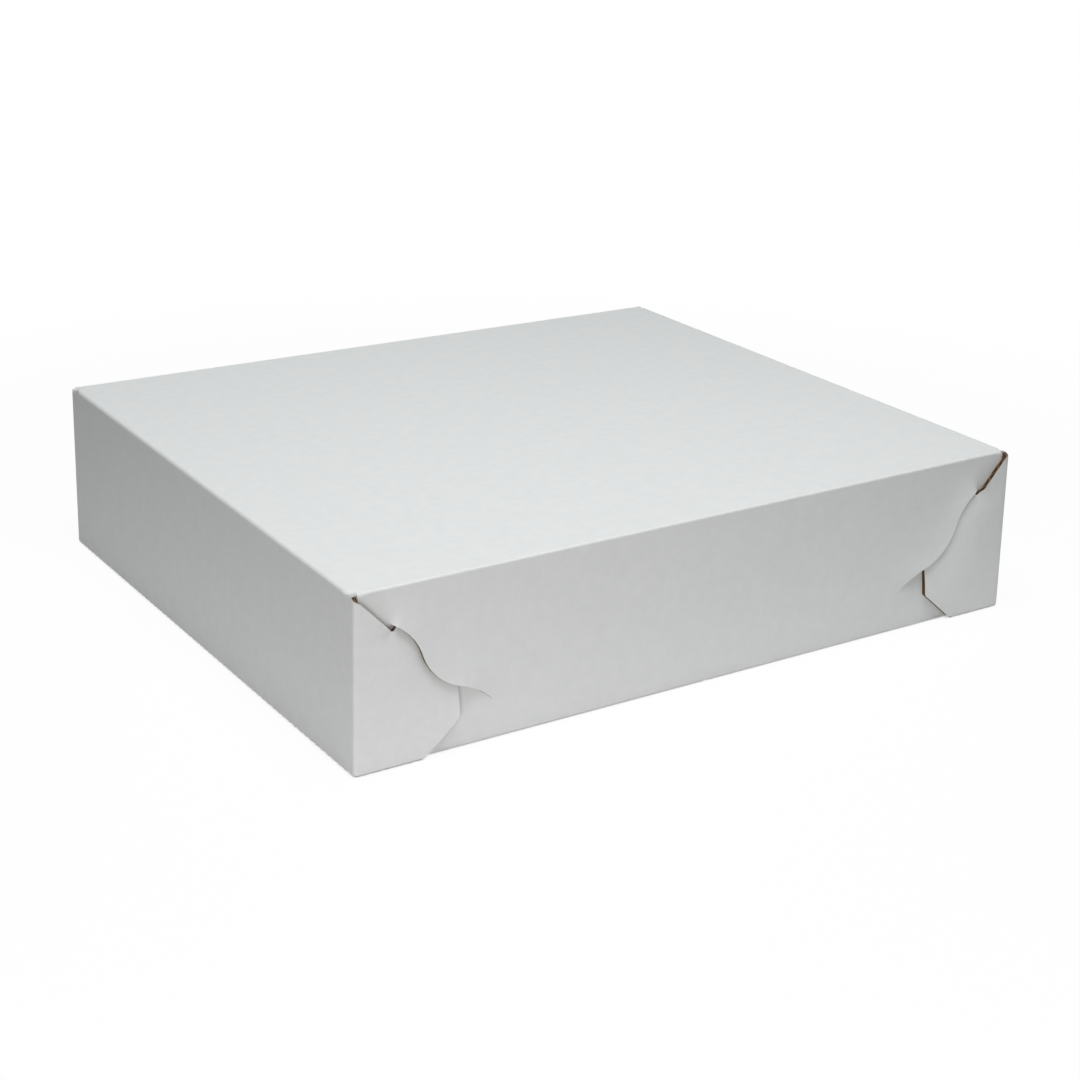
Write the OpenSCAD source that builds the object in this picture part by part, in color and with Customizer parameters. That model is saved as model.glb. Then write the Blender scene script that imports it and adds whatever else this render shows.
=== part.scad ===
// Slab cake box: two trays of corrugated board, each folded from one sheet.
// The shallow lid drops over the base tray and covers its walls down to the table.
// Each tray locks at its corners: a tab on the end wall wraps round the corner, dips through
// an S-shaped slit in the long wall and hooks behind the board above the slit.

/* [Lid] */
// Length of the lid along its long side, outside
lid_w = 436; // [380:1:500]
// Depth of the lid from front to back, outside its tabs
lid_d = 380; // [330:1:440]
// Height of the lid from its top face to its rim
lid_h = 99; // [98:1:140]

/* [Board] */
// Thickness of the corrugated board
board_t = 3; // [2:0.1:3.6]
// Inside radius of a scored fold
fold_r = 0.5; // [0.3:0.1:1.2]

/* [Fits] */
// Gap between two layers of board in a corner lock
layer_gap = 0.3; // [0.2:0.05:0.6]
// Gap between the lid's inner faces and the base tray
tray_gap = 1.5; // [1:0.25:4]
// Height of the lid's rim above the table when the lid is closed
rim_gap = 1; // [0.5:0.5:6]

/* [Tab] */
// Reach of a tab along the long wall, from the corner
tab_l = 60; // [54:1:68]
// Length of the bevel at the tab's free corner, along the wall
bevel_l = 20; // [8:1:24]
// Height of the bevel at the tab's free corner
bevel_h = 18; // [8:1:22]
// Distance from the folded edge to the tab's tip at the corner
tip_drop = 1; // [0.5:0.5:3]
// Reach of the hook past the slit
hook_l = 14; // [8:1:15]
// Depth of the notch where the tab dips under the slit's edge
notch_d = 3.5; // [2:0.5:6]

/* [Slit] */
// Distance from the corner to the slit's upper end
slit_a = 20.5; // [19:0.5:25]
// Distance from the folded edge to the slit's upper end
slit_h = 19.5; // [18.5:0.5:22]
// Direction in which the slit leaves its upper end, in degrees from the folded edge
slit_dir = 28; // [20:1:36]
// Radius of the slit's first bend
bend_1_r = 36.5; // [34:0.5:40]
// Turn of the slit's first bend, in degrees
bend_1_turn = 44.5; // [40:0.5:48]
// Radius of the slit's second bend
bend_2_r = 35.5; // [33:0.5:39]
// Turn of the slit's second bend, in degrees
bend_2_turn = 53.5; // [50:0.5:56]
// Radius of the slit's last bend
bend_3_r = 49; // [44:1:56]
// Turn of the slit's last bend, in degrees
bend_3_turn = 30; // [24:1:33]
// Width of the cut at the middle of the slit
slit_cut = 0.6; // [0.3:0.1:1]
// Run over which the slit opens from its upper end
slit_open = 5; // [4:0.5:8]
// Distance on each side of the slit over which the board is pushed out of line
slit_reach = 20; // [17:0.5:20.5]

/* [Hidden] */

// Outside radius of a fold, and the pitch of two neighbouring layers of board
fold_out = fold_r + board_t;
layer = board_t + layer_gap;

// Smoothness of an arc, and how far a cutting shape runs past what it cuts
arc_fn = 48;
over = 1;

// The deepest that a lock reaches in from a tab's outer face
lock_depth = 2 * layer + board_t;

// The base tray fits inside the lid and holds the lid's top panel up on its walls
tray_w = lid_w - 2 * (board_t + tray_gap);
tray_d = lid_d - 2 * (lock_depth + tray_gap);
tray_h = lid_h + rim_gap - board_t;

// Length of each bend of the slit, and of the whole slit
bend_1_l = bend_1_r * bend_1_turn * PI / 180;
bend_2_l = bend_2_r * bend_2_turn * PI / 180;
bend_3_l = bend_3_r * bend_3_turn * PI / 180;
slit_l = bend_1_l + bend_2_l + bend_3_l;

// A point at run s along an arc that starts at p in direction dir; side is 1 or -1
function arc_point(p, dir, r, side, s) =
    let (turned = dir + side * s / r * 180 / PI)
    p + side * r * [sin(turned) - sin(dir), cos(dir) - cos(turned)];

// The slit's centre line: [distance from the corner, distance from the folded edge] at run s
bend_1_p = [slit_a, slit_h];
bend_2_p = arc_point(bend_1_p, slit_dir, bend_1_r, 1, bend_1_l);
bend_2_dir = slit_dir + bend_1_turn;
bend_3_p = arc_point(bend_2_p, bend_2_dir, bend_2_r, -1, bend_2_l);
bend_3_dir = bend_2_dir - bend_2_turn;
function slit_point(s) =
    s < bend_1_l ? arc_point(bend_1_p, slit_dir, bend_1_r, 1, s) :
    s < bend_1_l + bend_2_l ? arc_point(bend_2_p, bend_2_dir, bend_2_r, -1, s - bend_1_l) :
    arc_point(bend_3_p, bend_3_dir, bend_3_r, 1, s - bend_1_l - bend_2_l);

// The direction square to the slit, from the tab's body towards its hook
slit_chord = slit_point(slit_l) - slit_point(0);
across = [slit_chord[1], -slit_chord[0]] / norm(slit_chord);

// The run at which the slit, moved by off across itself, is at distance a from the corner
function run_at(a, off, lo = 0, hi = slit_l, steps = 24) =
    steps == 0 ? lo :
    let (mid = (lo + hi) / 2)
    slit_point(mid)[0] + off * across[0] > a
        ? run_at(a, off, lo, mid, steps - 1)
        : run_at(a, off, mid, hi, steps - 1);

// The slit stands fully open from the notch to the tab's free edge, and closes after it
free_run = run_at(tab_l, 0);
function opening(s) =
    s < 0 || s > slit_l ? 0 :
    s < slit_open ? (1 - cos(180 * s / slit_open)) / 2 :
    s < free_run ? 1 :
    (1 + cos(180 * (s - free_run) / (slit_l - free_run))) / 2;

// How strongly the board still follows the lock at distance off from the slit
function pull(off) = (1 + cos(180 * min(1, abs(off) / slit_reach))) / 2;

// Runs at which the lock's surfaces are sampled, and the rows on one side of the slit. The
// bent surfaces run on into the flat board around them by a small lap, in its own plane, and
// the flat board ends half way along that lap.
open_steps = 2;
hook_steps = 8;
close_steps = 4;
side_rows = 3;
area_steps = 19;
lap = 0.6;
slit_runs = concat(
    [for (i = [0 : open_steps - 1]) i * slit_open / open_steps],
    [for (i = [0 : hook_steps - 1]) slit_open + i * (free_run - slit_open) / hook_steps],
    [for (i = [0 : close_steps]) free_run + i * (slit_l - free_run) / close_steps]
);
runs = concat([-lap], slit_runs, [slit_l + lap]);

// Half the cut's width at a run: it closes to a point at both ends of the slit
function half_cut(s) = slit_cut / 2 * max(0, sin(180 * s / slit_l));

// Distance from the slit of row j at a run, where row 0 is the cut's edge
function row_off(s, j) =
    j > side_rows ? slit_reach + lap :
    half_cut(s) + (slit_reach - half_cut(s)) * j / side_rows;

// A sheet of board through rows of points on its outer face; the board lies behind them in +Y
module sheet(rows) {
    n = len(rows[0]);
    m = len(rows);
    outer = [for (row = rows) for (p = row) p];
    inner = [for (p = outer) p + [0, board_t, 0]];
    k = n * m;
    cells = [for (j = [0 : m - 2]) for (i = [0 : n - 2]) j * n + i];
    faces = concat(
        [for (c = cells) [c, c + 1, c + n + 1]],
        [for (c = cells) [c, c + n + 1, c + n]],
        [for (c = cells) [k + c, k + c + n + 1, k + c + 1]],
        [for (c = cells) [k + c, k + c + n, k + c + n + 1]],
        [for (e = [0 : n - 2]) [e + 1, e, k + e, k + e + 1]],
        [for (e = [k - n : k - 2]) [e, e + 1, k + e + 1, k + e]],
        [for (e = [n - 1 : n : k - n - 1]) [e + n, e, k + e, k + e + n]],
        [for (e = [0 : n : k - 2 * n]) [e, e + n, k + e + n, k + e]]
    );
    polyhedron(points = concat(outer, inner), faces = faces, convexity = 6);
}

// A point beside the slit as [along the wall, into the box, away from the fold]
function beside(s, off, depth) =
    let (p = slit_point(s) + off * across)
    [p[0], depth, p[1]];

// The long wall above the slit is pushed out, and below the slit it is pushed in
module wall_above_slit() {
    sheet([for (j = [0 : side_rows + 1]) [for (s = runs)
        let (off = row_off(s, j))
        beside(s, off, layer * (1 - opening(s) * pull(off)))]]);
}
module wall_below_slit() {
    sheet([for (j = [side_rows + 1 : -1 : 0]) [for (s = runs)
        let (off = row_off(s, j))
        beside(s, -off, layer * (1 + opening(s) * pull(off)))]]);
}

// The tab starts in front of the wall, passes through the slit and ends behind the wall
module tab_through_slit() {
    sheet([for (j = [-side_rows - 1 : side_rows]) [for (s = runs)
        let (off = max(slit_reach * j / side_rows, -slit_reach - lap))
        beside(s, off, off > 0 ? layer * (2 - pull(off)) : layer * opening(s) * pull(off))]]);
}

// The area that the lock bends, drawn on the wall
module lock_area() {
    half_w = slit_reach + lap / 2;
    area_runs = [for (i = [0 : area_steps]) i * (slit_l + lap) / area_steps - lap / 2];
    polygon(concat(
        [for (s = area_runs) slit_point(s) + half_w * across],
        [for (i = [area_steps : -1 : 0]) slit_point(area_runs[i]) - half_w * across]
    ));
}

// Outline of a tab on a wall of height h, drawn on the wall: its upper edge runs from the tip
// to the notch, along the hook beside the slit, and down the free edge to the bevel
hook_run = run_at(tab_l, hook_l);
module tab_outline(h) {
    polygon(concat(
        [[0, tip_drop]],
        [slit_point(slit_open) - notch_d * across],
        [for (i = [0 : hook_steps]) slit_point(slit_open + i * (hook_run - slit_open) / hook_steps)
            + hook_l * across],
        [[tab_l, h - bevel_h], [tab_l - bevel_l, h], [0, h]]
    ));
}

// Turns a drawing on the wall into a slab that stands in XZ and reaches from y0 to y1
module on_wall(y0, y1) {
    translate([0, y1, 0])
        rotate([90, 0, 0])
            linear_extrude(y1 - y0)
                children();
}

// Quarter round of board of length l along Z, with its outer corner at the origin
module fold(l) {
    translate([fold_out, fold_out, 0])
        intersection() {
            difference() {
                cylinder(r = fold_out, h = l, $fn = arc_fn);
                translate([0, 0, -over])
                    cylinder(r = fold_r, h = l + 2 * over, $fn = arc_fn);
            }
            translate([-fold_out, -fold_out, 0])
                cube([fold_out, fold_out, l]);
        }
}

// A tab with its fold, for the front left corner, with that corner at the origin
module tab(h) {
    intersection() {
        union() {
            fold(h);
            on_wall(0, board_t)
                difference() {
                    translate([fold_out, 0])
                        square([tab_l, h]);
                    lock_area();
                }
            tab_through_slit();
        }
        on_wall(-over, lock_depth + over)
            tab_outline(h);
    }
}

// A long wall of a tray of length w and height h, with the slit of a lock near each end
module long_wall(w, h) {
    on_wall(layer, layer + board_t)
        difference() {
            translate([-w / 2 + layer, fold_out])
                square([w - 2 * layer, h - fold_out]);
            for (side = [0, 1])
                mirror([side, 0])
                    translate([-w / 2, 0])
                        lock_area();
        }
    for (side = [0, 1])
        mirror([side, 0, 0])
            translate([-w / 2, 0, 0]) {
                wall_above_slit();
                wall_below_slit();
            }
}

// The base panel with its four folds, and the two end walls
module panel_and_ends(w, d, h) {
    panel_w = w - 2 * fold_out;
    panel_d = d - 2 * (layer + fold_out);
    translate([-panel_w / 2, -panel_d / 2, 0])
        cube([panel_w, panel_d, board_t]);
    for (side = [0, 1])
        mirror([side, 0, 0]) {
            translate([-w / 2, d / 2 - layer, 0])
                rotate([90, 0, 0])
                    fold(d - 2 * layer);
            translate([-w / 2, -d / 2 + fold_out, fold_out])
                cube([board_t, d - 2 * fold_out, h - fold_out]);
        }
    for (side = [0, 1])
        mirror([0, side, 0])
            translate([w / 2 - layer, -d / 2 + layer, 0])
                rotate([0, -90, 0])
                    fold(w - 2 * layer);
}

// A folded tray that stands on its panel: outside length w, outside depth d, height h
module folded_tray(w, d, h) {
    panel_and_ends(w, d, h);
    for (side = [0, 1])
        mirror([0, side, 0])
            translate([0, -d / 2, 0]) {
                long_wall(w, h);
                for (end = [0, 1])
                    mirror([end, 0, 0])
                        translate([-w / 2, 0, 0])
                            tab(h);
            }
}

// The base tray stands on the table with its walls up
module base_tray() {
    color("gainsboro")
        folded_tray(tray_w, tray_d, tray_h);
}

// The lid is turned over and rests with its panel on the base tray's walls
module lid() {
    color("whitesmoke")
        translate([0, 0, rim_gap + lid_h])
            mirror([0, 0, 1])
                folded_tray(lid_w, lid_d, lid_h);
}

base_tray();
lid();
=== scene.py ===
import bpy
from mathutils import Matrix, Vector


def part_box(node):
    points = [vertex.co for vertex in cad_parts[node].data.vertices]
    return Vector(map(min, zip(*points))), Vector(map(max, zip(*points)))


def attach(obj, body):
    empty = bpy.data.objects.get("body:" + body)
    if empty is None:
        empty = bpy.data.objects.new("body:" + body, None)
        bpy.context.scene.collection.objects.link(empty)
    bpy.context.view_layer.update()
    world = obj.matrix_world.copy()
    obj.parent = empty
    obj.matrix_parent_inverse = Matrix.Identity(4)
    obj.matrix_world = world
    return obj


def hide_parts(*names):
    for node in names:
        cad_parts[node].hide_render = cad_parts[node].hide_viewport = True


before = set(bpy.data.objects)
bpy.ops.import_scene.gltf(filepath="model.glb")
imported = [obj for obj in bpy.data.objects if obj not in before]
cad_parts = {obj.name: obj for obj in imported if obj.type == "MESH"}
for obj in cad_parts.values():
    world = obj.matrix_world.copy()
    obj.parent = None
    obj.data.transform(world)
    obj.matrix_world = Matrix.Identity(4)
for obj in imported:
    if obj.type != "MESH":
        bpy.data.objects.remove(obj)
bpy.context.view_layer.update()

# Base tray: one die-cut sheet of white-lined corrugated board, folded up on four scored lines.
# A tab on each end of both end walls wraps round the corner, dips through the S-shaped slit in
# the long wall and hooks behind it, so the tray holds with no glue, tape or staple.
import math
import bpy
import numpy as np
from mathutils import Vector
from mathutils.geometry import delaunay_2d_cdt

# The board, in millimetres: two paper liners with a fluted paper between them
board_t = 3.0
liner_t = 0.3
flute_pitch = 6.35
flute_paper = 0.26
flute_swing = 1.02
fold_r = 0.5
fold_out = fold_r + board_t
bend_l = (fold_r + board_t / 2) * math.pi / 2
layer = board_t + 0.3

# How tight the outside of each fold is: over the long walls, over the end walls, at the corners
long_edge_r = 1.1
end_edge_r = 2.2
corner_edge_r = 1.8

# The cut of a tab and of its slit, measured from the corner and from the folded edge
tab_l = 60.0
bevel_l = 20.0
bevel_h = 18.0
tip_drop = 1.0
hook_l = 14.0
notch_d = 3.5
slit_start = (20.5, 19.5)
slit_dir = 28.0
slit_arcs = ((36.5, 44.5, 1), (35.5, 53.5, -1), (49.0, 30.0, 1))
slit_cut = 0.8
slit_open = 5.0

# The lock squeezes the board. Beside the slit, the depth of each layer's outer face and how
# thick it still is: the wall above the slit, the tab in it, and the wall below the slit.
above_slit = (1.0, 1.8)
tab_in_slit = (3.3, 1.8)
below_slit = (5.5, 2.0)

# How far from the slit each layer still follows the lock, at the slit's start and past the tab
above_reach = (19.0, 32.0)
below_reach = (22.0, 38.0)
neck_reach = (20.0, 36.0)
hook_reach = (12.0, 12.0)
squeeze_reach = 5.0
follow_power = 2.2

# The die's cuts at the corner: half the cut beside the long wall, half the cut at the tab's tip
# and how far that one runs past the fold
wall_cut = 0.06
tip_cut = 0.12
tip_root = 0.3

# The cut edges: how deep they are seen into, where a near-black sheet of painted shade closes them
# off, and how far the fluted paper stands back
cut_depth = 1.8
flute_back = 0.08

# Spacing of the points that the sheet is meshed by: round the lock, elsewhere, and along edges
fine_step = 2.0
wide_step = 10.5
axis_step = 11.0
edge_step = 3.0
flute_step = 0.8
tip_step = 0.3


def slit_point(run):
    """Points [from the corner, from the folded edge] at these runs along the slit."""
    run = np.asarray(run, float)
    out = np.zeros(run.shape + (2,))
    start = np.array(slit_start)
    heading = math.radians(slit_dir)
    done = 0.0
    for i, (radius, turn, side) in enumerate(slit_arcs):
        length = radius * math.radians(turn)
        here = run - done
        inside = np.ones(run.shape, bool) if i == 0 else here >= 0
        turned = heading + side * here / radius
        from_corner = np.sin(turned) - math.sin(heading)
        from_edge = math.cos(heading) - np.cos(turned)
        out[inside] = (start + side * radius * np.stack([from_corner, from_edge], -1))[inside]
        end = heading + side * math.radians(turn)
        from_corner = math.sin(end) - math.sin(heading)
        from_edge = math.cos(heading) - math.cos(end)
        start = start + side * radius * np.array([from_corner, from_edge])
        heading = end
        done += length
    return out


slit_l = sum(radius * math.radians(turn) for radius, turn, side in slit_arcs)
slit_chord = slit_point(slit_l) - slit_point(0.0)
along = slit_chord / np.linalg.norm(slit_chord)
across = np.array([along[1], -along[0]])
run_table = np.arange(-8.0, slit_l + 8.0, 0.1)
along_table = slit_point(run_table) @ along


def beside_slit(points):
    """Run along the slit, and distance across it towards the hook, of points on the wall."""
    run = np.interp(points @ along, along_table, run_table)
    return run, ((points - slit_point(run)) @ across)


def run_at(reach, off):
    """Run at which the slit, moved by off across itself, is at this distance from the corner."""
    return float(np.interp(reach, slit_point(run_table)[:, 0] + off * across[0], run_table))


free_run = run_at(tab_l, 0.0)
hook_run = run_at(tab_l, hook_l)


def opening(run, off):
    """How far the lock pushes the board: shut at both ends of the slit, open along the tab."""
    aside = 0.9 * np.abs(off)
    rising = (1 - np.cos(np.pi * np.clip((run + aside) / (slit_open + aside), 0, 1))) / 2
    tail = slit_l - free_run + 0.4 * np.abs(off)
    closing = (1 + np.cos(np.pi * np.clip((run - free_run) / tail, 0, 1))) / 2
    return np.where(run < slit_open, rising, closing)


def fade(off, reach, run):
    """How strongly the board still follows the lock: steepest at the slit, gone at the reach."""
    here = reach[0] + (reach[1] - reach[0]) * np.clip(run / free_run, 0, 1)
    return (1 - np.minimum(1, np.abs(off) / here)) ** follow_power


def wall_shape(points):
    """Depth of the long wall's outer face behind the tab's, and the board's thickness there."""
    run, off = beside_slit(points)
    above = off > 0
    open_here = opening(run, off)
    follow = np.where(above, fade(off, above_reach, run), fade(off, below_reach, run))
    follow = open_here * follow
    squeeze = open_here * np.exp(-np.abs(off) / squeeze_reach)
    depth = layer + follow * (np.where(above, above_slit[0], below_slit[0]) - layer)
    thick = board_t + squeeze * (np.where(above, above_slit[1], below_slit[1]) - board_t)
    return depth, thick


def tab_shape(points):
    """Depth of the tab's outer face, flush at the corner and behind the wall past the slit."""
    run, off = beside_slit(points)
    past = (off > 0) & (run > slit_open * 0.98)
    neck = tab_in_slit[0] * opening(run, off) * fade(off, neck_reach, run)
    behind = 2 * layer + (tab_in_slit[0] - 2 * layer) * fade(off, hook_reach, run)
    squeeze = opening(run, off) * np.exp(-np.abs(off) / squeeze_reach)
    thick = board_t + squeeze * (tab_in_slit[1] - board_t)
    return np.where(past, behind, neck), thick


def fold_round(line, start, q, edge_r):
    """One scored fold: distance along the flat sheet to (across, up) at depth q in the board.

    The path is straight, then an arc, then straight: tight outside, and round inside.
    """
    reach = fold_out - q
    radius = np.minimum(reach, edge_r + (fold_r - edge_r) * q / board_t)
    flat = reach - radius
    path = np.clip((line - start) / bend_l, 0, 1) * (2 * flat + radius * np.pi / 2)
    turn = np.clip((path - flat) / radius, 0, np.pi / 2)
    before = np.minimum(path, flat)
    after = np.maximum(path - flat - radius * np.pi / 2, 0)
    level = np.minimum(line, start) + before + radius * np.sin(turn)
    up = q + radius * (1 - np.cos(turn)) + after + np.maximum(line - start - bend_l, 0)
    return level, up


def split_line(a, b, step):
    """Points from a up to, but not including, b, at most this step apart."""
    a, b = np.array(a, float), np.array(b, float)
    n = max(1, int(math.ceil(np.linalg.norm(b - a) / step)))
    return [a + (b - a) * i / n for i in range(n)]


def rounded(points, radius):
    """The middle one of three points, replaced by a small round of this size."""
    a, b, c = (np.array(p, float) for p in points)
    start = b + (a - b) / np.linalg.norm(a - b) * radius
    end = b + (c - b) / np.linalg.norm(c - b) * radius
    curve = np.linspace(0, 1, 6)
    return [(1 - t) ** 2 * start + 2 * t * (1 - t) * b + t * t * end for t in curve]


def inside_outline(points, outline):
    """Which of these points lie inside a closed outline."""
    hit = np.zeros(len(points), bool)
    x, y = points[:, 0], points[:, 1]
    for p, q in zip(outline, np.roll(outline, -1, axis=0)):
        spans = (p[1] > y) != (q[1] > y)
        if p[1] == q[1]:
            continue
        hit ^= spans & (x < (q[0] - p[0]) * (y - p[1]) / (q[1] - p[1]) + p[0])
    return hit


def quarter_blank(w, d, h):
    """One quarter of the flat die-cut sheet: its outline, its slit, and points to mesh it by."""
    pu, pv = w / 2 - fold_out, d / 2 - layer - fold_out
    end_v = d / 2 - fold_out
    far_u, far_v = pu + bend_l + h - fold_out, pv + bend_l + h - fold_out

    def on_tab(a, b):
        return np.array([pu + bend_l + b - fold_out, end_v + bend_l + a - fold_out])

    def on_wall(a, b):
        return np.array([w / 2 - a, pv + bend_l + b - fold_out])

    corners = [np.array([0, 0]), np.array([far_u, 0])]
    low = on_tab(tab_l - bevel_l, h)
    side = on_tab(tab_l, h - bevel_h)
    hook_runs = np.linspace(hook_run, slit_open, 40)
    hook = [on_tab(*(slit_point(run) + hook_l * across)) for run in hook_runs]
    notch = on_tab(*(slit_point(slit_open) - notch_d * across))
    tip = np.array([on_tab(0, tip_drop)[0], end_v + tip_cut])
    corners += rounded([corners[1], low, side], 2.5)
    corners += rounded([low, side, hook[0]], 1.2)
    corners += hook
    corners += rounded([hook[-1], notch, tip], 1.6)
    corners += [tip, np.array([pu + bend_l, end_v + tip_cut])]
    corners += [np.array([pu + bend_l + tip_root, end_v]), np.array([pu + bend_l, end_v - tip_cut])]
    corners += [np.array([pu + wall_cut, end_v - tip_cut]), np.array([pu, pv])]
    corners += [np.array([pu - wall_cut, pv + 0.4]), np.array([pu - wall_cut, far_v])]
    corners += [np.array([0, far_v])]
    outline = []
    for a, b in zip(corners, corners[1:] + corners[:1]):
        on_axis = (a[0] == 0 and b[0] == 0) or (a[1] == 0 and b[1] == 0)
        over_fold = np.linalg.norm((a + b) / 2 - np.array([pu + bend_l, end_v])) < 3.5
        crosses_flutes = abs(b[1] - a[1]) > 0.3 * abs(b[0] - a[0])
        step = flute_step if crosses_flutes else edge_step
        if over_fold:
            step = tip_step
        if on_axis:
            step = axis_step
        outline += split_line(a, b, step)
    outline = np.array(outline)
    runs = np.linspace(0, slit_l, 112)
    half_cut = slit_cut / 2 * np.sin(np.pi * runs / slit_l)
    upper = [on_wall(*(p + c * across)) for p, c in zip(slit_point(runs), half_cut)]
    lower = [on_wall(*(p - c * across)) for p, c in zip(slit_point(runs), half_cut)]
    slit = np.array(upper + lower[-2:0:-1])

    # Close points round the lock, rows along every fold, and a wide grid elsewhere
    fine = []
    for run in np.arange(-2.0, slit_l + 2.1, fine_step):
        for off in np.arange(-30.0, 24.1, fine_step):
            a, b = slit_point(run) + off * across
            if b > fold_out + 3.2:
                fine.append(on_wall(a, b))
                if a > fold_out + 2.3:
                    fine.append(on_tab(a, b))
    bends = []
    for k in (0, 0.28, 0.36, 0.43, 0.5, 0.57, 0.64, 0.72, 1):
        bends += [(pu + bend_l * k, v) for v in np.linspace(0, end_v - tip_cut, 36)]
        bends += [(u, pv + bend_l * k) for u in np.linspace(0, pu - wall_cut, 36)]
        bends += [(u, end_v + bend_l * k) for u in np.linspace(pu + bend_l + tip_root, far_u, 24)]
    wide_v = np.arange(0, far_v + 1, wide_step)
    wide = [(u, v) for u in np.arange(0, far_u + 1, wide_step) for v in wide_v]
    points = np.array(fine + bends + wide)
    tier = np.array([0] * len(fine) + [1] * len(bends) + [2] * len(wide))
    ok = inside_outline(points, outline) & ~inside_outline(points, slit)
    on_axis = (points[:, 0] == 0) | (points[:, 1] == 0)
    ok |= on_axis & (points[:, 0] < far_u - 1) & (points[:, 1] < far_v - 1)
    points, tier = points[ok], tier[ok]
    rim = np.concatenate([outline, slit])
    close = points[tier < 2]
    near_rim = np.array([np.min(np.sum((rim - p) ** 2, 1)) for p in points]) ** 0.5
    near_fine = np.array([np.min(np.sum((close - p) ** 2, 1)) for p in points]) ** 0.5
    keep_close = near_rim > np.where(tier == 1, 0.15, 0.7)
    points = points[np.where(tier == 2, (near_rim > 4) & (near_fine > 4.1), keep_close)]
    return outline, slit, points, pu, pv, end_v


def fold_sheet(uv, q, in_end, w, d, pu, pv, end_v):
    """Folds points of the flat quarter sheet, at depth q in the board, into the standing tray."""
    u, v = uv[:, 0], uv[:, 1]
    y_wall, z_wall = fold_round(v, pv, q, long_edge_r)
    on_wall = np.stack([w / 2 - u, v - pv - bend_l + fold_out], 1)
    depth, thick = wall_shape(on_wall)
    upright = v > pv + bend_l
    sunk = np.where(upright, depth - layer + q * (thick / board_t - 1), 0.0)
    long_wall = np.stack([u, y_wall - sunk, z_wall], 1)
    x_end, z_end = fold_round(u, pu, q, end_edge_r)
    y_tab, x_tab = fold_round(v, end_v, q, corner_edge_r)
    past = np.maximum(v - end_v - bend_l, 0)
    on_tab = np.stack([fold_out + past, u - pu - bend_l + fold_out], 1)
    depth, thick = tab_shape(on_tab)
    depth = np.where(v > end_v + bend_l, depth + q * (thick / board_t - 1), 0.0)
    tab = np.stack([w / 2 - x_tab, y_tab - depth, u - pu - bend_l + fold_out], 1)
    end_wall = np.stack([x_end, v, z_end], 1)
    end_part = np.where((v > end_v)[:, None], tab, end_wall)
    return np.where(in_end[:, None], end_part, long_wall)


def inward(ring):
    """At each point of a closed ring, the direction into the board, square to the cut."""
    before = ring - np.roll(ring, 1, axis=0)
    after = np.roll(ring, -1, axis=0) - ring
    before = before / np.maximum(np.linalg.norm(before, axis=1), 1e-9)[:, None]
    after = after / np.maximum(np.linalg.norm(after, axis=1), 1e-9)[:, None]
    n = np.stack([-(before + after)[:, 1], (before + after)[:, 0]], 1)
    return n / np.maximum(np.linalg.norm(n, axis=1), 1e-6)[:, None]


# A loaded box is never quite square: how far each corner of the closed box has moved in, in
# millimetres along X, Y and Z, for the corners (left or right, front or back, rim or top)
corner_shift = {
    (0, 0, 0): (1.0, 4.1, 0.0),
    (1, 0, 0): (0.0, 0.2, 0.0),
    (0, 1, 0): (0.0, 6.0, 0.0),
    (1, 1, 0): (0.0, 0.1, 0.0),
    (0, 0, 1): (0.0, 0.0, 2.5),
    (1, 0, 1): (1.8, 2.1, 2.25),
    (0, 1, 1): (4.3, 0.0, 0.0),
    (1, 1, 1): (0.0, 0.2, 0.0),
}
lid_low, lid_high = (np.array(c) * 1000 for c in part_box("lid"))


def settle(points):
    """Moves points of the closed box, in millimetres, as its corners have moved."""
    share = (points - lid_low) / (lid_high - lid_low)
    share = np.clip(share, 0, 1)
    out = points.copy()
    for (i, j, k), shift in corner_shift.items():
        weight = (share[:, 0] if i else 1 - share[:, 0])
        weight = weight * (share[:, 1] if j else 1 - share[:, 1])
        weight = weight * (share[:, 2] if k else 1 - share[:, 2])
        sign = np.array([-1 if i else 1, -1 if j else 1, -1 if k else 1])
        out += weight[:, None] * sign * np.array(shift)
    return out


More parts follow.
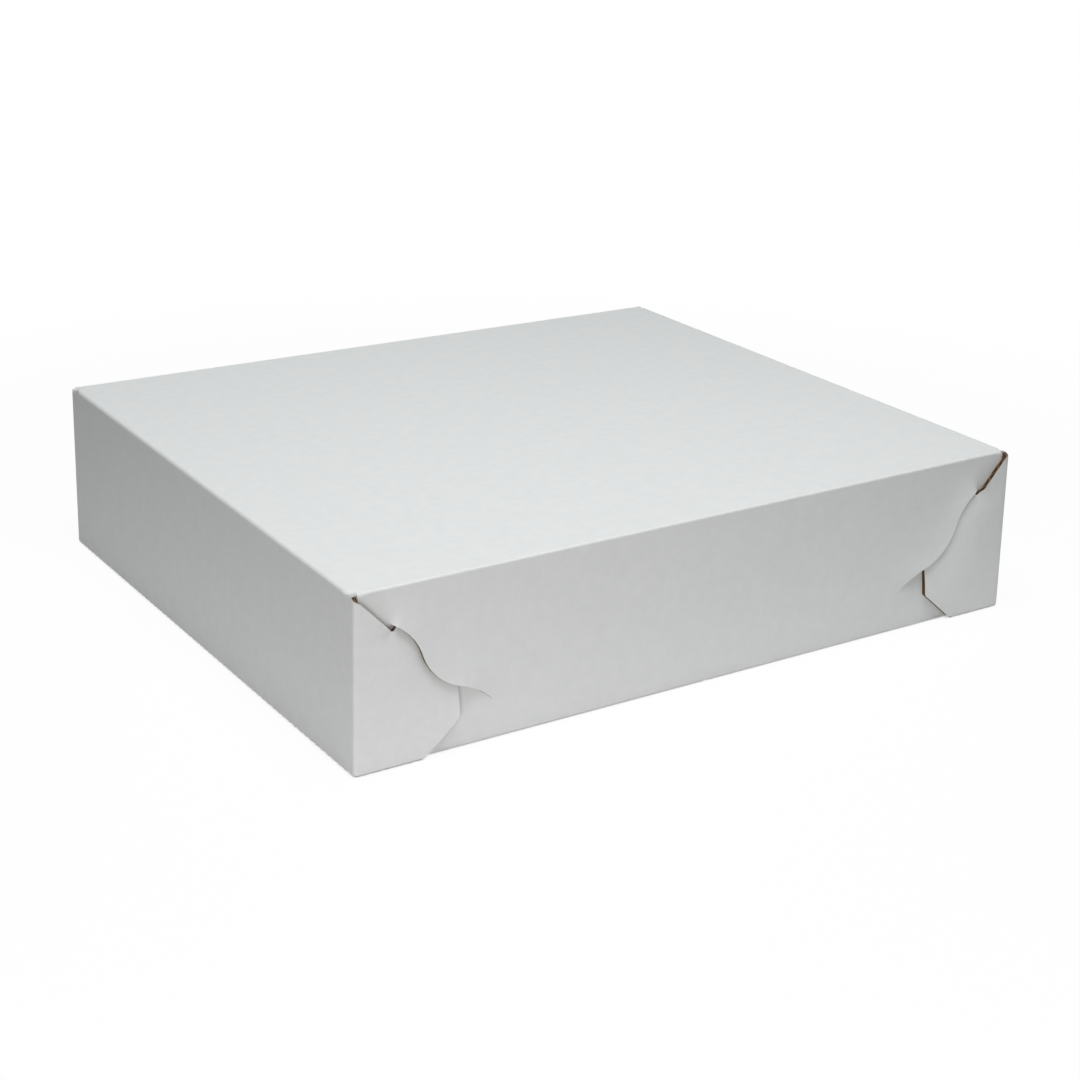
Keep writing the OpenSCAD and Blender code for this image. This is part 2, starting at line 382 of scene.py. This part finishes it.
def build_tray(name, w, d, h, place, turned_over):
    """The whole tray as one mesh: both liners, the cut edges and the fluted paper in them."""
    outline, slit, points, pu, pv, end_v = quarter_blank(w, d, h)
    n_out, n_slit = len(outline), len(slit)
    flat = np.concatenate([outline, slit, points])
    rings = [(i, (i + 1) % n_out) for i in range(n_out)]
    rings += [(n_out + i, n_out + (i + 1) % n_slit) for i in range(n_slit)]
    found = delaunay_2d_cdt([Vector(p) for p in flat], rings, [], 0, 1e-7)
    flat = np.array([tuple(v) for v in found[0]])
    tris = np.array([f for f in found[2] if len(f) == 3])
    middle = flat[tris].mean(axis=1)
    tris = tris[inside_outline(middle, outline) & ~inside_outline(middle, slit)]
    a, b, c = flat[tris[:, 0]], flat[tris[:, 1]], flat[tris[:, 2]]
    turn = (b[:, 0] - a[:, 0]) * (c[:, 1] - a[:, 1]) - (b[:, 1] - a[:, 1]) * (c[:, 0] - a[:, 0])
    tris[turn < 0] = tris[turn < 0][:, ::-1]
    sides = [np.sum((p - q) ** 2, 1) for p, q in ((a, b), (b, c), (c, a))]
    tris = tris[np.abs(turn) > 0.004 * np.max(sides, axis=0) ** 0.5]
    in_end = flat[:, 0] > pu + 0.001
    vertices, faces, skins = [], [], []
    count = 0

    def add(block, quads, skin, flip):
        nonlocal count
        vertices.append(block)
        for f in quads:
            f = [int(i) + count for i in f]
            faces.append(f[::-1] if flip else f)
            skins.append(skin)
        count += len(block)

    for sx in (1, -1):
        for sy in (1, -1):
            mirror = np.array([sx, sy, 1])
            flip = (sx * sy < 0) != turned_over

            def folded(uv, q, ends):
                q = np.broadcast_to(np.asarray(q, float), (len(uv),))
                return place(fold_sheet(uv, q, ends, w, d, pu, pv, end_v) * mirror)

            add(folded(flat, 0.0, in_end), tris, 0, not flip)
            add(folded(flat, board_t, in_end), tris, 1, flip)
            for ring in (outline, slit):
                corner_near = np.linalg.norm(ring - np.array([pu + bend_l, end_v]), axis=1)
                steps = inward(ring) * np.clip((corner_near - 3.5) / 5.0, 0.05, 1)[:, None]
                ends = ring[:, 0] > pu + 0.001
                mid = board_t / 2 + flute_swing * np.sin(2 * np.pi * ring[:, 1] / flute_pitch)
                low, high = mid - flute_paper / 2, mid + flute_paper / 2
                # Rows into each cut edge: the liners' cut faces, the kraft behind them darkened as
                # painted shade, a back sheet at cut_depth that is painted shade, and the fluted
                # paper's cut edge
                rows = [
                    (0.0, 0.0), (0.0, liner_t), (cut_depth, liner_t),
                    (cut_depth, board_t - liner_t), (0.0, board_t - liner_t), (0.0, board_t),
                    (cut_depth, low), (flute_back, low), (flute_back, high), (cut_depth, high),
                ]
                block = np.concatenate([folded(ring + steps * back, q, ends) for back, q in rows])
                n = len(ring)
                # The scored fold runs on to the tab's tip, with white paper all round it
                at_tip = np.abs(ring[:, 1] - end_v) < tip_cut + 0.01
                at_tip &= ring[:, 0] < pu + bend_l + tip_root + 0.01
                skin_of = {0: 2, 1: 3, 2: 4, 3: 3, 4: 2, 6: 3, 7: 5, 8: 3}
                for row, skin in skin_of.items():
                    quads = []
                    for i in range(n):
                        j = (i + 1) % n
                        on_axis = np.any((ring[i] == 0) & (ring[j] == 0))
                        if on_axis or (at_tip[i] and at_tip[j]):
                            continue
                        here, there = row * n, (row + 1) * n
                        quads.append((here + i, here + j, there + j, there + i))
                    if row == 0:
                        add(block, quads, skin, flip)
                        base = count - len(block)
                    else:
                        for f in quads:
                            f = [k + base for k in f]
                            faces.append(f[::-1] if flip else f)
                            skins.append(skin)
                for i in range(n):
                    j = (i + 1) % n
                    if at_tip[i] and at_tip[j]:
                        f = [k + base for k in (i, j, 5 * n + j, 5 * n + i)]
                        faces.append(f[::-1] if flip else f)
                        skins.append(0)
    co = settle(np.concatenate(vertices)) * 0.001
    mesh = bpy.data.meshes.new(name)
    mesh.from_pydata(co.tolist(), [], faces)
    mesh.polygons.foreach_set("material_index", np.array(skins, np.int32))
    mesh.polygons.foreach_set("use_smooth", np.array([s < 2 for s in skins], bool))
    mesh.update()
    tray = bpy.data.objects.new(name, mesh)
    bpy.context.scene.collection.objects.link(tray)
    return tray


def paper(name, colour, roughness, mottle, fibre):
    """Matt paper: slow shade changes, fine fibre specks and a faint tooth."""
    mat = bpy.data.materials.new(name)
    mat.use_nodes = True
    nodes, links = mat.node_tree.nodes, mat.node_tree.links
    shader = nodes["Principled BSDF"]
    shader.inputs["Base Color"].default_value = (*colour, 1)
    shader.inputs["Roughness"].default_value = roughness
    shader.inputs["Specular IOR Level"].default_value = 0.25
    where = nodes.new("ShaderNodeTexCoord")
    slow = nodes.new("ShaderNodeTexNoise")
    slow.inputs["Scale"].default_value = 160
    slow.inputs["Detail"].default_value = 4
    slow.inputs["Roughness"].default_value = 0.6
    fine = nodes.new("ShaderNodeTexNoise")
    fine.inputs["Scale"].default_value = 1400
    fine.inputs["Detail"].default_value = 3
    mix = nodes.new("ShaderNodeMath")
    mix.operation = "MULTIPLY_ADD"
    mix.inputs[1].default_value = 0.4
    shade = nodes.new("ShaderNodeMapRange")
    shade.inputs["From Min"].default_value = 0.4
    shade.inputs["From Max"].default_value = 1.0
    shade.inputs["To Min"].default_value = 1 - mottle
    shade.inputs["To Max"].default_value = 1 + mottle
    tint = nodes.new("ShaderNodeVectorMath")
    tint.operation = "SCALE"
    tint.inputs[0].default_value = colour
    links.new(where.outputs["Object"], slow.inputs["Vector"])
    links.new(where.outputs["Object"], fine.inputs["Vector"])
    links.new(fine.outputs["Fac"], mix.inputs[0])
    links.new(slow.outputs["Fac"], mix.inputs[2])
    links.new(mix.outputs["Value"], shade.inputs["Value"])
    links.new(shade.outputs["Result"], tint.inputs["Scale"])
    links.new(tint.outputs["Vector"], shader.inputs["Base Color"])
    tooth = nodes.new("ShaderNodeBump")
    tooth.inputs["Strength"].default_value = fibre
    tooth.inputs["Distance"].default_value = 0.00006
    links.new(mix.outputs["Value"], tooth.inputs["Height"])
    links.new(tooth.outputs["Normal"], shader.inputs["Normal"])
    return mat


white_liner = paper("white_liner", (0.78, 0.79, 0.785), 0.85, 0.03, 0.3)
kraft_liner = paper("kraft_liner", (0.50, 0.37, 0.25), 0.9, 0.08, 0.4)
liner_cut = paper("liner_cut_edge", (0.42, 0.32, 0.24), 0.95, 0.15, 0.2)
# Kraft paper inside the cut edges, on the liners' backs and the flute sides: kraft brown, darkened
# well below the liner's own kraft as painted shade
painted_shade_kraft = paper("kraft_darkened_by_painted_shade", (0.16, 0.11, 0.075), 0.95, 0.12, 0.2)
# A near-black sheet at the cut depth: painted shade deep between the flutes, not a colour of the
# paper
flute_gap_painted_shade = paper("painted_shade_deep_in_flutes", (0.05, 0.033, 0.022), 0.95, 0.1, 0.2)
flute_cut = paper("flute_cut_edge", (0.34, 0.24, 0.16), 0.95, 0.15, 0.2)
board_skins = (white_liner, kraft_liner, liner_cut, painted_shade_kraft, flute_gap_painted_shade, flute_cut)

tray_low, tray_high = (np.array(c) * 1000 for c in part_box("base_tray"))


def stand_tray(points):
    """The base tray stands on the table with its walls up."""
    return points + np.array([0, 0, tray_low[2]])


base_tray = build_tray("base_tray_board", *(tray_high - tray_low), stand_tray, False)
for skin in board_skins:
    base_tray.data.materials.append(skin)
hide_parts("base_tray")
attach(base_tray, "base")

# Lid: the same folded and locked sheet turned over, so large that it slips down over the base
# tray and covers its walls to the table. Its top panel is what another box is stacked on.


def turn_over(points):
    """The lid hangs from its panel, with its walls down."""
    return points * np.array([1, 1, -1]) + np.array([0, 0, lid_high[2]])


lid = build_tray("lid_board", *(lid_high - lid_low), turn_over, True)
for skin in board_skins:
    lid.data.materials.append(skin)
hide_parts("lid")
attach(lid, "lid")

# Table: a white paper sheet about a metre wide under the box, and the grey studio table past it,
# which throws less light back, so the walls grow lighter towards their foot. To the camera all
# of it is nearly white, with a part of the shadow at the box's foot.
table_mesh = bpy.data.meshes.new("table")
reach = 6.0
table_corners = [(-reach, -reach, 0), (reach, -reach, 0), (reach, reach, 0), (-reach, reach, 0)]
table_mesh.from_pydata(table_corners, [], [(0, 1, 2, 3)])
table = bpy.data.objects.new("table", table_mesh)
bpy.context.scene.collection.objects.link(table)
table_paper = bpy.data.materials.new("table_paper")
table_paper.use_nodes = True
nodes, links = table_paper.node_tree.nodes, table_paper.node_tree.links
sheet = nodes["Principled BSDF"]
sheet.inputs["Base Color"].default_value = (0.8, 0.8, 0.8, 1)
sheet.inputs["Roughness"].default_value = 0.9
sheet.inputs["Specular IOR Level"].default_value = 0.1
where = nodes.new("ShaderNodeTexCoord")
away = nodes.new("ShaderNodeVectorMath")
away.operation = "LENGTH"
shade = nodes.new("ShaderNodeMapRange")
shade.interpolation_type = "SMOOTHSTEP"
shade.inputs["From Min"].default_value = 0.35
shade.inputs["From Max"].default_value = 0.65
shade.inputs["To Min"].default_value = 0.8
shade.inputs["To Max"].default_value = 0.2
links.new(where.outputs["Object"], away.inputs[0])
links.new(away.outputs["Value"], shade.inputs["Value"])
glow = nodes.new("ShaderNodeEmission")
glow.inputs["Color"].default_value = (1, 1, 1, 1)
glow.inputs["Strength"].default_value = 1.0
ray = nodes.new("ShaderNodeLightPath")
pale = nodes.new("ShaderNodeMix")
pale.inputs["B"].default_value = 0.95
links.new(ray.outputs["Is Camera Ray"], pale.inputs["Factor"])
links.new(shade.outputs["Result"], pale.inputs["A"])
links.new(pale.outputs["Result"], sheet.inputs["Base Color"])


def seeing_rays(nodes, links, ray):
    """Camera, glossy and transmission rays: the ones that see the plain white ground."""
    two = nodes.new("ShaderNodeMath")
    two.operation = "MAXIMUM"
    three = nodes.new("ShaderNodeMath")
    three.operation = "MAXIMUM"
    links.new(ray.outputs["Is Camera Ray"], two.inputs[0])
    links.new(ray.outputs["Is Glossy Ray"], two.inputs[1])
    links.new(two.outputs["Value"], three.inputs[0])
    links.new(ray.outputs["Is Transmission Ray"], three.inputs[1])
    return three.outputs["Value"]


# Near the box a little of the lit sheet shows through the white, and with it the shadow. Right
# at the box's foot all of it shows, as the dark line that the box has there.
plain = nodes.new("ShaderNodeMapRange")
plain.interpolation_type = "SMOOTHSTEP"
plain.inputs["From Min"].default_value = 0.4
plain.inputs["From Max"].default_value = 0.8
plain.inputs["To Min"].default_value = 0.95
plain.inputs["To Max"].default_value = 1.0
foot = nodes.new("ShaderNodeAmbientOcclusion")
foot.samples = 8
foot.inputs["Distance"].default_value = 0.003
clear = nodes.new("ShaderNodeMapRange")
clear.inputs["From Min"].default_value = 0.25
clear.inputs["From Max"].default_value = 0.75
open_part = nodes.new("ShaderNodeMath")
open_part.operation = "MULTIPLY"
white_part = nodes.new("ShaderNodeMath")
white_part.operation = "MULTIPLY"
blend = nodes.new("ShaderNodeMixShader")
links.new(away.outputs["Value"], plain.inputs["Value"])
links.new(foot.outputs["AO"], clear.inputs["Value"])
links.new(plain.outputs["Result"], open_part.inputs[0])
links.new(clear.outputs["Result"], open_part.inputs[1])
links.new(open_part.outputs["Value"], white_part.inputs[0])
links.new(seeing_rays(nodes, links, ray), white_part.inputs[1])
links.new(white_part.outputs["Value"], blend.inputs["Fac"])
links.new(sheet.outputs["BSDF"], blend.inputs[1])
links.new(glow.outputs["Emission"], blend.inputs[2])
links.new(blend.outputs["Shader"], nodes["Material Output"].inputs["Surface"])
table_mesh.materials.append(table_paper)

# Room: a dim grey-blue studio round the table, which fills the shadows a little. The camera
# sees plain white past the table.
world = bpy.data.worlds.new("room")
bpy.context.scene.world = world
world.use_nodes = True
nodes, links = world.node_tree.nodes, world.node_tree.links
room = nodes["Background"]
room.inputs["Color"].default_value = (0.95, 0.98, 1.0, 1)
room.inputs["Strength"].default_value = 0.09
white = nodes.new("ShaderNodeBackground")
white.inputs["Color"].default_value = (1, 1, 1, 1)
white.inputs["Strength"].default_value = 1.0
ray = nodes.new("ShaderNodeLightPath")
blend = nodes.new("ShaderNodeMixShader")
links.new(seeing_rays(nodes, links, ray), blend.inputs["Fac"])
links.new(room.outputs["Background"], blend.inputs[1])
links.new(white.outputs["Background"], blend.inputs[2])
links.new(blend.outputs["Shader"], nodes["World Output"].inputs["Surface"])


# Lamps: a large soft box high over the box, a small one nearer that makes the top panel lighter
# to the front, and two weak low ones at the front left that fill the walls.
def soft_box(name, place, aim, size, power, colour):
    """A square soft lamp at a place, turned towards a point."""
    lamp = bpy.data.lights.new(name, "AREA")
    lamp.size = size
    lamp.energy = power
    lamp.color = colour
    holder = bpy.data.objects.new(name, lamp)
    holder.location = place
    holder.rotation_euler = (Vector(aim) - Vector(place)).to_track_quat("-Z", "Y").to_euler()
    bpy.context.scene.collection.objects.link(holder)


soft_box("top_lamp", (-0.2, -0.3, 1.8), (0, 0, 0), 1.2, 21.0, (0.975, 0.998, 1.0))
soft_box("near_lamp", (-0.05, -0.3, 0.9), (0, 0, 0), 0.4, 1.56, (1, 1, 1))
soft_box("front_lamp", (-0.5, -1.0, 0.4), (-0.1, -0.19, 0.05), 0.5, 1.3, (1, 0.97, 0.96))
soft_box("side_lamp", (-0.65, -0.75, 0.15), (-0.22, -0.19, 0.03), 0.3, 1.27, (1, 0.97, 0.96))

# Camera: where the photographer stood, to the left of the front and above, with a long lens.
# The picture is cut a little off the lens's middle, so the lens is shifted.
view_az, view_el, view_roll = math.radians(-34.636), math.radians(21.061), math.radians(1.751)
focal_px = 1956.0
centre_px = (580.2, 536.1)
picture_px = 1080
camera_data = bpy.data.cameras.new("camera")
camera_data.sensor_width = 36
camera_data.lens = 36 * focal_px / picture_px
camera_data.shift_x = (picture_px / 2 - centre_px[0]) / picture_px
camera_data.shift_y = (centre_px[1] - picture_px / 2) / picture_px
camera_data.clip_start = 0.01
camera = bpy.data.objects.new("camera", camera_data)
back = Vector((math.sin(view_az), -math.cos(view_az), 0)) * math.cos(view_el)
back.z = math.sin(view_el)
level = Vector((math.cos(view_az), math.sin(view_az), 0))
over = back.cross(level)
right = level * math.cos(view_roll) + over * math.sin(view_roll)
up = over * math.cos(view_roll) - level * math.sin(view_roll)
turned = camera.matrix_world.to_3x3()
turned.col[0], turned.col[1], turned.col[2] = right, up, back
camera.matrix_world = turned.to_4x4()
camera.location = (-0.61133, -0.94451, 0.4573)
bpy.context.scene.collection.objects.link(camera)
bpy.context.scene.camera = camera
bpy.context.scene.view_settings.view_transform = "Standard"
